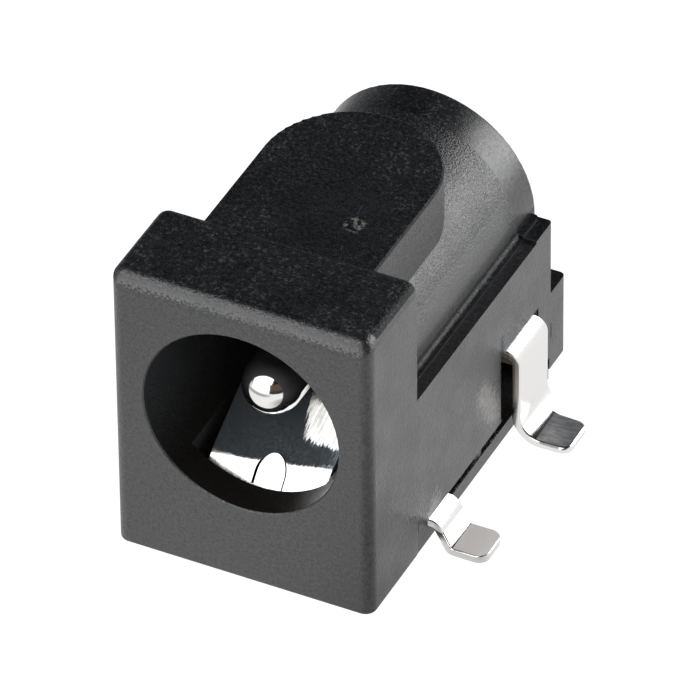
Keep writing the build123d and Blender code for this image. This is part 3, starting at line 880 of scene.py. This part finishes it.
# %% Plate materials
pin_plate = plate_material("pin_plate", PIN_COLOUR, roughness=0.09, stretch=(1.0, 0.3, 1.0),
                           bump_depth=0.0005 * MM)
strip_plate = plate_material("strip_plate", STRIP_COLOUR, roughness=0.20, stretch=(3.0, 0.6, 0.6),
                             bump_depth=0.0015 * MM, extras=cut_edges)
spring_plate = plate_material("spring_plate", STRIP_COLOUR, roughness=0.20,
                              stretch=(9.0, 9.0, 9.0), bump_depth=0.004 * MM,
                              extras=leaf_and_leg)
print("plate:", pin_plate.name, strip_plate.name, spring_plate.name)

# %% [markdown]
# ## Mesh helpers
# A finished piece is a plain mesh at the origin, with its place in its vertices. Each one rides
# with the jack, and each but the seam's flash stands for one measured piece, which is hidden.

# %% Mesh helpers
SHARP_ANGLE = math.radians(38)
EDGE_BLEND = 1.2 * MM  # the edges' radius changes over this length before a tip
TUCK_SHARE = 0.98  # under 1, so that a rounded edge keeps a little radius at the very tip
TINY = 1e-9


def plain_mesh(name, verts, faces):
    """A closed mesh whose faces look outward, with sharp edges only where faces really turn."""
    mesh = bpy.data.meshes.new(name)
    mesh.from_pydata(verts, [], faces)
    mesh.validate()
    shape = bmesh.new()
    shape.from_mesh(mesh)
    bmesh.ops.recalc_face_normals(shape, faces=shape.faces)
    shape.to_mesh(mesh)
    shape.free()
    mesh.shade_smooth()
    mesh.set_sharp_from_angle(angle=SHARP_ANGLE)
    return mesh


def finish_piece(name, mesh, material, slot, *replaced):
    """Puts the mesh in the scene on the jack's body, and hides the measured pieces that it stands
    for.
    """
    mesh.materials.clear()
    mesh.materials.append(material)
    piece = bpy.data.objects.new(name, mesh)
    bpy.context.scene.collection.objects.link(piece)
    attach(piece, BODY)
    if replaced:
        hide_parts(*replaced)
    print(f"{name}: {len(mesh.polygons)} faces")
    return piece


def together(*shells):
    """Several (verts, faces) shells as one."""
    verts, faces = [], []
    for shell_verts, shell_faces in shells:
        first = len(verts)
        verts += shell_verts
        faces += [tuple(first + corner for corner in face) for face in shell_faces]
    return verts, faces


def mirrored(shell):
    """The same shell on the jack's other side."""
    verts, faces = shell
    return [(-x, y, z) for x, y, z in verts], [tuple(reversed(face)) for face in faces]


def shell_of(mesh):
    """A mesh as a (verts, faces) shell."""
    return ([tuple(vertex.co) for vertex in mesh.vertices],
            [tuple(face.vertices) for face in mesh.polygons])


def lathe(profile, segments):
    """Turns (depth, radius) points about the socket's axis. Points of no radius close the ends."""
    verts, rings = [], []
    for y, radius in profile:
        count = segments if radius else 1
        rings.append(list(range(len(verts), len(verts) + count)))
        for step in range(count):
            angle = step / count * math.tau
            verts.append((math.cos(angle) * radius, y, socket_height + math.sin(angle) * radius))
    faces = []
    for ring, following in zip(rings, rings[1:]):
        for step in range(segments):
            after = (step + 1) % segments
            corners = [ring[after % len(ring)], ring[step % len(ring)],
                       following[step % len(following)], following[after % len(following)]]
            faces.append(tuple(dict.fromkeys(corners)))
    return verts, faces


def box_shell(low, high):
    """A plain block between two corners."""
    (x0, y0, z0), (x1, y1, z1) = low, high
    verts = [(x, y, z) for x in (x0, x1) for y in (y0, y1) for z in (z0, z1)]
    faces = [(0, 1, 3, 2), (4, 6, 7, 5), (0, 4, 5, 1), (2, 3, 7, 6), (0, 2, 6, 4), (1, 5, 7, 3)]
    return verts, faces


def rounded_path(points, radii, steps=16):
    """A flat path through points, with each inner corner rounded, as closely stepped points."""
    path = [Vector(points[0])]
    for before, corner, after, radius in zip(points, points[1:], points[2:], radii):
        before, corner, after = Vector(before), Vector(corner), Vector(after)
        back, ahead = (before - corner).normalized(), (after - corner).normalized()
        half_turn = (math.pi - back.angle(ahead)) / 2
        reach = radius * math.tan(half_turn)
        start, end = corner + back * reach, corner + ahead * reach
        centre = corner + (back + ahead).normalized() * math.hypot(radius, reach)
        first, last = start - centre, end - centre
        for step in range(steps + 1):
            share = step / steps
            mixed = (first * math.sin((1 - share) * 2 * half_turn)
                     + last * math.sin(share * 2 * half_turn)) / math.sin(2 * half_turn)
            path.append(centre + mixed)
    path.append(Vector(points[-1]))
    return path


def left_of(path, index):
    """The unit vector to the left of the path at one of its points."""
    along = (path[min(index + 1, len(path) - 1)] - path[max(index - 1, 0)]).normalized()
    return Vector((-along.y, along.x))


def shifted(path, distance):
    """The path moved sideways to its right."""
    return [point - left_of(path, index) * distance for index, point in enumerate(path)]


def end_steps(path, reach, steps=18):
    """Adds points that crowd towards the path's last point, for a rounded tip."""
    tip, inner = path[-1], path[-2]
    way = (inner - tip).normalized()
    return path[:-1] + [tip + way * reach * (1 - step / steps) ** 2 for step in range(steps + 1)]


def arc_inset(radius, left):
    """How far a rounded end of a radius draws in, at a distance from its tip."""
    short = max(radius - left, 0)
    return radius - math.sqrt(max(radius * radius - short * short, 0))


def strip(path, sides, thickness, edges, place, corner=0.0, corner_steps=5):
    """A solid strip along a flat path, with rounded edges and a rounded tip at its end.

    sides gives the strip's two sides at a path point; place turns (path point, across) into a
    point in space; edges gives the radius of the edges far from the tip and at it, and corner
    is the radius of the tip seen from above.
    """
    lengths = [0.0]
    for start, end in zip(path, path[1:]):
        lengths.append(lengths[-1] + (end - start).length)
    ring_size = 4 * (corner_steps + 1)
    verts = []
    for index, point in enumerate(path):
        left = lengths[-1] - lengths[index]
        edge = edges[0] + (edges[1] - edges[0]) * max(1 - left / EDGE_BLEND, 0) ** 0.5
        tuck = arc_inset(edge, left)
        low, high = sides(point)
        inset = tuck + (arc_inset(corner, left) if corner else 0.0)
        low, high, half = low + inset, high - inset, thickness / 2 - tuck
        bend = min(edge - tuck * TUCK_SHARE, half, (high - low) / 2)
        normal = left_of(path, index)
        for quarter, (side, out) in enumerate(((1, 1), (-1, 1), (-1, -1), (1, -1))):
            for step in range(corner_steps + 1):
                angle = (quarter + step / corner_steps) * math.pi / 2
                across = (high if side > 0 else low) - side * bend + math.cos(angle) * bend
                rise = out * (half - bend) + math.sin(angle) * bend
                verts.append(place(point + normal * rise, across))
    faces = [tuple(reversed(range(ring_size)))]
    for row in range(len(path) - 1):
        for step in range(ring_size):
            after = (step + 1) % ring_size
            first, second = row * ring_size, (row + 1) * ring_size
            faces.append((first + step, first + after, second + after, second + step))
    faces.append(tuple(range((len(path) - 1) * ring_size, len(path) * ring_size)))
    return verts, faces


def sideways(point, across):
    """The place of a strip that runs across the jack, with its width along it."""
    return point.x, across, point.y


# %% [markdown]
# ## The centre pin
# The pin is turned: a half-ball nose, a plain shank, a shoulder on the socket's end wall and a
# riveted head behind. A lathe of its profile gives it, with fine steps round the nose.

# %% Centre pin
NOSE_STEPS = 24
PIN_SEGMENTS = 128
PIN_HEAD_LENGTH = 0.35 * MM
PIN_HEAD_CHAMFER = 0.12 * MM
PIN_NECK_RADIUS = 0.75 * MM


def make_pin():
    tip = pin_low.y
    shoulder = tip + pin_radius + mounts["centre_pin"]["dims"]["length_mm"] * MM
    head_radius = (pin_high.x - pin_low.x) / 2
    head_front = pin_high.y - PIN_HEAD_LENGTH
    profile = [(tip, 0)]
    for step in range(1, NOSE_STEPS + 1):
        angle = step / NOSE_STEPS * math.pi / 2
        profile.append((tip + pin_radius * (1 - math.cos(angle)), pin_radius * math.sin(angle)))
    profile += [(shoulder, pin_radius), (shoulder, PIN_NECK_RADIUS), (head_front, PIN_NECK_RADIUS),
                (head_front, head_radius), (pin_high.y - PIN_HEAD_CHAMFER, head_radius),
                (pin_high.y, head_radius - PIN_HEAD_CHAMFER), (pin_high.y, 0)]
    mesh = plain_mesh("turned_pin", *lathe(profile, PIN_SEGMENTS))
    return finish_piece("turned_pin", mesh, pin_plate, "pin_plating", "centre_pin")


turned_pin = make_pin()

# %% [markdown]
# ## The pin terminal
# One strip crosses the body, turns down outside both sides and comes out to the feet. It stands
# on the pin with an upright that has a hole for the pin's neck. Both legs are the same, so one
# half is built and mirrored.

# %% Pin terminal
SHEET = 0.30 * MM
REAR_FOOT_WIDTH = 1.60 * MM
FOOT_CORNER = 0.40 * MM
BEND_RADIUS = 0.35 * MM
REAR_FOOT_BEND = 0.90 * MM
REAR_EDGES = (0.07 * MM, 0.14 * MM)
LEG_GAP = 0.18 * MM
TERMINAL_WIDTH = 2.15 * MM
TERMINAL_TAPER = 0.30 * MM
UPRIGHT_HALF = 1.5 * MM
UPRIGHT_SEGMENTS = 96
NECK_HOLE = 0.77 * MM
STRIP_DROP = 2.74 * MM  # the cross strip's top lies this far below the socket's axis
foot_middle = terminal_low.z + SHEET / 2
rear_reach = terminal_high.x
strip_top = socket_height - STRIP_DROP


def terminal_half():
    """The right half of the cross strip with its leg and foot."""
    middle = strip_top - SHEET / 2
    leg_x = half_body + LEG_GAP + SHEET / 2
    near = terminal_low.y
    path = rounded_path([(0, middle), (leg_x, middle), (leg_x, foot_middle),
                         (rear_reach, foot_middle)], [BEND_RADIUS, REAR_FOOT_BEND])
    taper_start = leg_x + SHEET / 2

    def sides(point):
        share = min(max((point.x - taper_start) / TERMINAL_TAPER, 0), 1)
        return near, near + TERMINAL_WIDTH + (REAR_FOOT_WIDTH - TERMINAL_WIDTH) * share

    return strip(end_steps(path, FOOT_CORNER), sides, SHEET, REAR_EDGES, sideways, FOOT_CORNER)


def upright():
    """A plate across the jack, round above the pin's axis, with the hole for the pin's neck."""
    front, rear = terminal_high.y - SHEET, terminal_high.y
    bottom = strip_top - SHEET - socket_height
    rings = [[], []]
    for step in range(UPRIGHT_SEGMENTS):
        angle = step / UPRIGHT_SEGMENTS * math.tau
        way = Vector((math.cos(angle), math.sin(angle)))
        rings[0].append(way * NECK_HOLE)
        if way.y >= 0:
            rings[1].append(way * UPRIGHT_HALF)
        else:
            side = UPRIGHT_HALF / max(abs(way.x), TINY)
            rings[1].append(way * min(side, bottom / way.y))
    verts = [(p.x, y, socket_height + p.y) for y in (front, rear) for ring in rings for p in ring]
    count, faces = UPRIGHT_SEGMENTS, []
    order = [0, count, 3 * count, 2 * count]
    for step in range(count):
        after = (step + 1) % count
        for first, second in zip(order, order[1:] + order[:1]):
            faces.append((first + step, first + after, second + after, second + step))
    return verts, faces


half_terminal = terminal_half()
terminal_mesh = plain_mesh("terminal_strip", *together(half_terminal, mirrored(half_terminal),
                                                       upright()))
terminal_strip = finish_piece("terminal_strip", terminal_mesh, strip_plate, "contact_plating",
                              "pin_terminal")

# %% [markdown]
# ## The sleeve contact
# The front leg comes out of the body's foot, slopes down and turns out. Inside, the same strip
# runs to the front, folds up and back over itself, and climbs to a crest under the pin: this is
# the spring that presses on a plug. A small tongue is cut free in its front slope.

# %% Front legs
FRONT_EDGES = (0.06 * MM, 0.05 * MM)
FRONT_WIDTH = 1.5 * MM
FRONT_FOOT_WIDTH = 1.45 * MM
FRONT_NEAR = -0.4 * MM
FRONT_SKEW = 0.33 * MM
LEG_TURN = half_body + 0.30 * MM
LEG_LAND = LEG_TURN + 0.55 * MM
LEG_START = 1.0 * MM
PLATE_TOP = 0.60 * MM


def front_leg(start, reach):
    """A front strip from inside the body to its foot, which stands nearer the mouth."""
    middle = PLATE_TOP + SHEET / 2
    path = rounded_path([(start, middle), (LEG_TURN, middle), (LEG_LAND, foot_middle),
                         (reach, foot_middle)], [BEND_RADIUS, BEND_RADIUS])

    def sides(point):
        share = min(max((point.x - half_body) / (LEG_LAND - half_body), 0), 1)
        near = FRONT_NEAR - FRONT_SKEW * share
        return near, near + FRONT_WIDTH + (FRONT_FOOT_WIDTH - FRONT_WIDTH) * share

    return strip(end_steps(path, FOOT_CORNER), sides, SHEET, FRONT_EDGES, sideways, FOOT_CORNER)


# %% Leaf
LEAF_HALF = -sleeve_low.x
LEAF_FRONT = sleeve_low.y
LEAF_END = sleeve_high.y
BEND_AT = (2.05 * MM + front_y, 3.25 * MM)
CREST_AT = (4.60 * MM + front_y, 4.55 * MM)
KNEE_HEIGHT = 2.50 * MM
END_HEIGHT = 2.75 * MM
END_LENGTH = 1.0 * MM  # the level part behind the crest
FRONT_SLOPE = (BEND_AT[1] - KNEE_HEIGHT) / (BEND_AT[0] - LEAF_FRONT)
CREST_SLOPE = (CREST_AT[1] - BEND_AT[1]) / (CREST_AT[0] - BEND_AT[0])
LEAF_RADII = (0.5 * MM, 0.45 * MM, 0.7 * MM, 1.4 * MM, 0.8 * MM)
LEAF_EDGE = 0.05 * MM
LEAF_EDGES = (LEAF_EDGE, LEAF_EDGE)
BEND_SPREAD = 0.45 * MM


def make_leaf():
    """The folded leaf, whose bend lies further from the mouth towards the right."""
    outer = rounded_path([(FRONT_NEAR + FRONT_WIDTH, PLATE_TOP), (LEAF_FRONT, PLATE_TOP),
                          (LEAF_FRONT, KNEE_HEIGHT), BEND_AT, CREST_AT,
                          (LEAF_END - END_LENGTH, END_HEIGHT), (LEAF_END, END_HEIGHT)],
                         LEAF_RADII)

    def place(point, across):
        above_run = point.y > PLATE_TOP * 2
        bell = math.exp(-(((point.x - BEND_AT[0]) / BEND_SPREAD) ** 2)) if above_run else 0
        step = across * FOLD_SLANT * bell
        return across, point.x + step, point.y + step * FRONT_SLOPE

    return strip(end_steps(shifted(outer, SHEET / 2), LEAF_EDGE),
                 lambda point: (-LEAF_HALF, LEAF_HALF), SHEET, LEAF_EDGES, place)


# %% Tongue cut in the leaf
TONGUE_CENTRE = 0.12 * MM
TONGUE_WIDTH = 0.94 * MM
TONGUE_SLIT = 0.07 * MM
TONGUE_SHIFT = 0.025 * MM  # the slit is wider on the tongue's left
TONGUE_TOP = 2.24 * MM + front_y
TONGUE_LIFT = 0.05 * MM
TONGUE_STEPS = 24
TONGUE_SLACK = TONGUE_SLIT * 0.3  # what lies nearer than this to the tongue belongs to it


def slit_cutter():
    """A prism in the shape of the slit around the tongue."""
    base = LEAF_FRONT + SHEET / 2
    rims = []
    for reach, centre_x in ((TONGUE_WIDTH / 2 + TONGUE_SLIT, TONGUE_CENTRE - TONGUE_SHIFT),
                            (TONGUE_WIDTH / 2, TONGUE_CENTRE)):
        centre_y = TONGUE_TOP - TONGUE_WIDTH / 2
        rim = [(centre_x + reach, base)]
        for step in range(TONGUE_STEPS + 1):
            angle = step / TONGUE_STEPS * math.pi
            rim.append((centre_x + math.cos(angle) * reach,
                        centre_y + math.sin(angle) * reach))
        rims.append(rim + [(centre_x - reach, base)])
    outline = rims[0] + rims[1][::-1]
    size = len(outline)
    low, high = KNEE_HEIGHT - SHEET * 1.5, CREST_AT[1]
    verts = [(x, y, z) for z in (low, high) for x, y in outline]
    faces = []
    half = size // 2
    for step in range(half - 1):
        inner = size - 1 - step
        faces.append((step, step + 1, inner - 1, inner))
        faces.append((size + inner, size + inner - 1, size + step + 1, size + step))
    for step in range(size):
        after = (step + 1) % size
        faces.append((after, step, size + step, size + after))
    return verts, faces


def cut(mesh, cutter_mesh):
    """The mesh with the cutter's shape taken out, as a plain mesh."""
    body = bpy.data.objects.new("cut_body", mesh)
    tool = bpy.data.objects.new("cut_tool", cutter_mesh)
    for item in (body, tool):
        bpy.context.scene.collection.objects.link(item)
    modifier = body.modifiers.new("cut", "BOOLEAN")
    modifier.operation, modifier.solver, modifier.object = "DIFFERENCE", "EXACT", tool
    depsgraph = bpy.context.evaluated_depsgraph_get()
    result = bpy.data.meshes.new_from_object(body.evaluated_get(depsgraph))
    for item in (body, tool):
        bpy.data.objects.remove(item)
    return result


def lift_tongue(mesh):
    """Straightens the tongue along the front slope and lifts its tip out of the leaf."""
    base = LEAF_FRONT + SHEET * 1.5
    reach = TONGUE_WIDTH / 2 + TONGUE_SLACK
    for vertex in mesh.vertices:
        x, y, z = vertex.co
        if base < y < TONGUE_TOP + TONGUE_SLACK and z > KNEE_HEIGHT - SHEET:
            gap = math.hypot(x - TONGUE_CENTRE, max(y - (TONGUE_TOP - TONGUE_WIDTH / 2), 0))
            if gap < reach:
                share = (y - base) / (TONGUE_TOP - base)
                unbent = max(y - BEND_AT[0], 0) * (FRONT_SLOPE - CREST_SLOPE)
                vertex.co.z += TONGUE_LIFT * share + unbent


leaf_mesh = cut(plain_mesh("leaf_blank", *make_leaf()), plain_mesh("slit", *slit_cutter()))
lift_tongue(leaf_mesh)
sleeve_mesh = plain_mesh("sleeve_spring", *together(shell_of(leaf_mesh),
                                                    front_leg(LEG_START, sleeve_high.x)))
sleeve_spring = finish_piece("sleeve_spring", sleeve_mesh, spring_plate, "contact_plating",
                             "sleeve_contact")

# %% [markdown]
# ## The switch contact
# The left front leg mirrors the right one, with a slightly shorter foot. Inside, its strip runs
# along the side and ends in a finger that lies over the leaf's end.

# %% Switch contact
RUN_WIDTH = 0.8 * MM
RUN_INSET = 1.35 * MM
FINGER_WIDTH = 0.7 * MM


def make_switch():
    """The leg, the run along the side and the finger, built on the right and mirrored."""
    run_side = half_body - RUN_INSET
    run_low = (run_side - RUN_WIDTH, FRONT_NEAR, PLATE_TOP)
    run_high = (run_side, LEAF_END, PLATE_TOP + SHEET)
    reach = -switch_high.x
    rise = END_HEIGHT + SHEET / 2
    path = rounded_path([(run_side - SHEET / 2, PLATE_TOP + SHEET / 2),
                         (run_side - SHEET / 2, rise), (reach, rise)], [BEND_RADIUS])
    finger = strip(end_steps(path, LEAF_EDGE), lambda point: (LEAF_END - FINGER_WIDTH, LEAF_END),
                   SHEET, LEAF_EDGES, sideways)
    leg = front_leg(run_side - RUN_WIDTH, -switch_low.x)
    return mirrored(together(leg, box_shell(run_low, run_high), finger))


switch_mesh = plain_mesh("switch_spring", *make_switch())
switch_spring = finish_piece("switch_spring", switch_mesh, strip_plate, "contact_plating",
                             "switch_contact")

# %% [markdown]
# ## Flash along the seam
# Where the base was pressed into the housing, the two edges carry small burrs of plastic. A
# geometry node group strews them along a line with a fixed seed, and two such lines lie on each
# side, one on the base's upper edge and one on the housing's lower edge.

# %% Burr group
BURR_INPUTS = {"Start": "Vector", "End": "Vector", "Count": "Int", "Size": "Float",
               "Spread": "Vector", "Seed": "Int", "Material": "Material"}
BURR_TURN = (6.28, 6.28, 6.28)
BURR_SMALL = (0.4, 0.4, 0.3)
BURR_LARGE = (1.3, 2.6, 1.0)


def make_burr_group():
    """Small uneven lumps strewn along a line between two points."""
    group = bpy.data.node_groups.new("seam_burrs", "GeometryNodeTree")
    for label, kind in BURR_INPUTS.items():
        group.interface.new_socket(label, in_out="INPUT", socket_type="NodeSocket" + kind)
    group.interface.new_socket("Mesh", in_out="OUTPUT", socket_type="NodeSocketGeometry")
    entry, leave = group.nodes.new("NodeGroupInput"), group.nodes.new("NodeGroupOutput")
    take = entry.outputs
    line = add_node(group, "GeometryNodeMeshLine", {"Count": take["Count"],
                    "Start Location": take["Start"], "Offset": take["End"]}, mode="END_POINTS")
    below = add_node(group, "ShaderNodeVectorMath", {0: take["Spread"], 1: (-1.0, -1.0, -1.0)},
                     operation="MULTIPLY")
    strewn = add_node(group, "FunctionNodeRandomValue", {"Min": below.outputs[0],
                      "Max": take["Spread"], "Seed": take["Seed"]}, data_type="FLOAT_VECTOR")
    moved = add_node(group, "GeometryNodeSetPosition", {"Geometry": line.outputs["Mesh"],
                     "Offset": strewn.outputs[0]})
    lump = add_node(group, "GeometryNodeMeshIcoSphere", {"Radius": take["Size"], "Subdivisions": 2})
    turn = add_node(group, "FunctionNodeRandomValue", {"Max": BURR_TURN,
                    "Seed": take["Seed"]}, data_type="FLOAT_VECTOR")
    grow = add_node(group, "FunctionNodeRandomValue", {"Min": BURR_SMALL, "Max": BURR_LARGE,
                    "Seed": take["Seed"]}, data_type="FLOAT_VECTOR")
    strew = add_node(group, "GeometryNodeInstanceOnPoints", {"Points": moved.outputs[0],
                     "Instance": lump.outputs["Mesh"], "Rotation": turn.outputs[0],
                     "Scale": grow.outputs[0]})
    real = add_node(group, "GeometryNodeRealizeInstances", {"Geometry": strew.outputs[0]})
    dressed = add_node(group, "GeometryNodeSetMaterial", {"Geometry": real.outputs[0],
                       "Material": take["Material"]})
    group.links.new(dressed.outputs[0], leave.inputs["Mesh"])
    return group


burr_group = make_burr_group()

# %% Burrs on both sides
BURR_LINES = (  # start and end depths, height, count
    (1.25, 5.10, 0.90, 34),
    (1.30, 5.05, 0.62, 26),
)
BURR_SIZE = 0.035 * MM
BURR_SPREAD = (0.0, 0.05 * MM, 0.02 * MM)
BURR_INSET = 0.05 * MM


def grown_burrs(name, inputs):
    """The group's result for one set of inputs, as a plain mesh."""
    host = bpy.data.objects.new(name, bpy.data.meshes.new(name))
    bpy.context.scene.collection.objects.link(host)
    modifier = host.modifiers.new("burrs", "NODES")
    modifier.node_group = burr_group
    for item in burr_group.interface.items_tree:
        if item.in_out == "INPUT":
            modifier[item.identifier] = inputs[item.name]
    depsgraph = bpy.context.evaluated_depsgraph_get()
    mesh = bpy.data.meshes.new_from_object(host.evaluated_get(depsgraph))
    host.modifiers.remove(modifier)
    bpy.data.objects.remove(host)
    return mesh


def make_burrs():
    shells = []
    for number, (near, far, height, count) in enumerate(BURR_LINES):
        for side in (-1, 1):
            x = side * (half_body - BURR_INSET)
            inputs = {"Start": (x, near * MM, height * MM), "End": (x, far * MM, height * MM),
                      "Count": count, "Size": BURR_SIZE, "Spread": BURR_SPREAD,
                      "Seed": number * 2 + (side > 0), "Material": base_plastic}
            shells.append(shell_of(grown_burrs("burr_line", inputs)))
    return plain_mesh("seam_flash", *together(*shells))


seam_flash = finish_piece("seam_flash", make_burrs(), base_plastic, "base_plastic")

# %% [markdown]
# ## Close
# The last cell prints a closing line.

# %% Finish
print("dressing finished")
